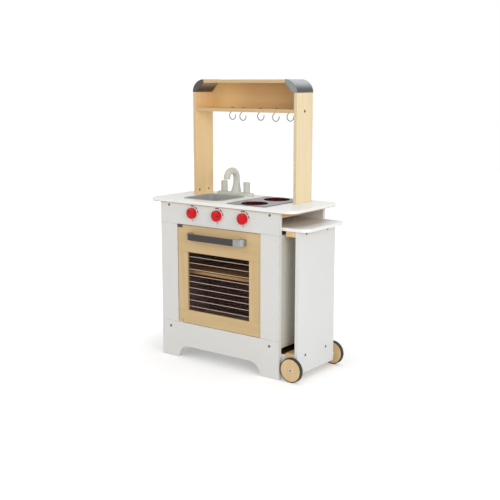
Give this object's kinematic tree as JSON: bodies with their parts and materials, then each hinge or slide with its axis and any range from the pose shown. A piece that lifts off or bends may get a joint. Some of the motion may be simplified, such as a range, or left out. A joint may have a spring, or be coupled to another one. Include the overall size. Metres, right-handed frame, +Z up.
{
  "type": "toy kitchen oven",
  "caption": "White and birch play oven cabinet with side-hinged glazed door, knobs, sink, tap, hob, hood with hooks and a roll-out side trolley.",
  "frame": {"origin": "on the floor, in the middle of the whole outline seen from above", "axes": "+X to the right along the front, +Y from the front to the back, +Z up"},
  "size_m": [0.672, 0.312, 1],
  "materials": {
    "white_board": "white satin paint",
    "white_worktop": "white satin lacquer",
    "birch_ply": "clear matt lacquer",
    "hood_back_ply": "clear matt lacquer",
    "sink_grey": "satin grey",
    "hob_grey": "printed grey",
    "burner_black": "printed black and dark red",
    "tap_grey": "warm light grey",
    "cap_grey": "metallic grey",
    "hook_chrome": "polished wire",
    "knob_red": "glossy red",
    "hinge_brown": "dark brown",
    "pin_steel": "bright steel",
    "dark_steel": "dark steel",
    "catch_black": "black",
    "smoked_pane": "smoked acrylic with white lines",
    "handle_silver": "satin silver",
    "grip_dark": "dark grey",
    "bushing_white": "white",
    "tyre_black": "black rubber"
  },
  "bodies": {
    "cabinet": {"front_top_rail": "white_board", "front_bottom_rail": "white_board", "front_left_stile": "white_board", "front_right_stile": "white_board", "back_panel": "white_board", "left_side_panel": "white_board", "oven_right_wall": "white_board", "oven_floor": "birch_ply", "oven_top": "birch_ply", "oven_shelf": "birch_ply", "shelf_cleats": "birch_ply", "left_cross_rail": "birch_ply", "right_cross_rail": "birch_ply", "cabinet_bolts": "dark_steel", "worktop": "white_worktop", "sink_basin": "sink_grey", "hob_plate": "hob_grey", "burner_discs": "burner_black", "tap_body": "tap_grey", "left_post": "birch_ply", "right_post": "birch_ply", "hood_fasteners": "dark_steel", "hood_top_board": "birch_ply", "hood_back_board": "hood_back_ply", "hood_shelf": "birch_ply", "corner_cap_left": "cap_grey", "corner_cap_right": "cap_grey", "hook_1": "hook_chrome", "hook_2": "hook_chrome", "hook_3": "hook_chrome", "hook_4": "hook_chrome", "hook_5": "hook_chrome", "hinge_block_top": "hinge_brown", "hinge_block_bottom": "birch_ply", "hinge_pins": "pin_steel", "magnet_catch": "catch_black"},
    "door": {"door_top_rail": "birch_ply", "door_bottom_rail": "birch_ply", "door_left_stile": "birch_ply", "door_right_stile": "birch_ply", "door_window": "smoked_pane", "door_handle": "handle_silver", "handle_grip": "grip_dark", "handle_screws": "pin_steel"},
    "left_knob": {"knob_left": "knob_red"},
    "middle_knob": {"knob_middle": "knob_red"},
    "right_knob": {"knob_right": "knob_red"},
    "left_tap": {"tap_handle_left": "tap_grey"},
    "right_tap": {"tap_handle_right": "tap_grey"},
    "trolley": {"trolley_top": "white_worktop", "trolley_side": "white_board", "trolley_shelf": "white_board", "trolley_inner_leg": "white_board", "trolley_battens": "birch_ply", "trolley_bolts": "dark_steel", "wheel_bushings": "bushing_white"},
    "front_wheel": {"wheel_disc_front": "birch_ply", "tyre_front": "tyre_black"},
    "rear_wheel": {"wheel_disc_rear": "birch_ply", "tyre_rear": "tyre_black"}
  },
  "joints": [
    {"name": "door_hinge", "type": "hinge", "parent": "cabinet", "child": "door", "pos_m": [-0.196, -0.12, 0.315], "axis": [0, 0, -1], "range_deg": [0, 110]},
    {"name": "left_knob_turn", "type": "hinge", "parent": "cabinet", "child": "left_knob", "pos_m": [-0.134, -0.126, 0.5375], "axis": [0, -1, 0], "continuous": true},
    {"name": "middle_knob_turn", "type": "hinge", "parent": "cabinet", "child": "middle_knob", "pos_m": [-0.022, -0.126, 0.5375], "axis": [0, -1, 0], "continuous": true},
    {"name": "right_knob_turn", "type": "hinge", "parent": "cabinet", "child": "right_knob", "pos_m": [0.09, -0.126, 0.5375], "axis": [0, -1, 0], "continuous": true},
    {"name": "left_tap_turn", "type": "hinge", "parent": "cabinet", "child": "left_tap", "pos_m": [-0.1735, 0.104, 0.6], "axis": [0, 0, 1], "continuous": true},
    {"name": "right_tap_turn", "type": "hinge", "parent": "cabinet", "child": "right_tap", "pos_m": [-0.0695, 0.104, 0.6], "axis": [0, 0, 1], "continuous": true},
    {"name": "trolley_roll", "type": "slide", "parent": "cabinet", "child": "trolley", "axis": [1, 0, 0], "range_m": [0, 0.48]},
    {"name": "front_wheel_turn", "type": "hinge", "parent": "trolley", "child": "front_wheel", "pos_m": [0.2855, -0.117, 0.0422], "axis": [0, 1, 0], "continuous": true},
    {"name": "rear_wheel_turn", "type": "hinge", "parent": "trolley", "child": "rear_wheel", "pos_m": [0.2855, 0.143, 0.0422], "axis": [0, 1, 0], "continuous": true}
  ]
}
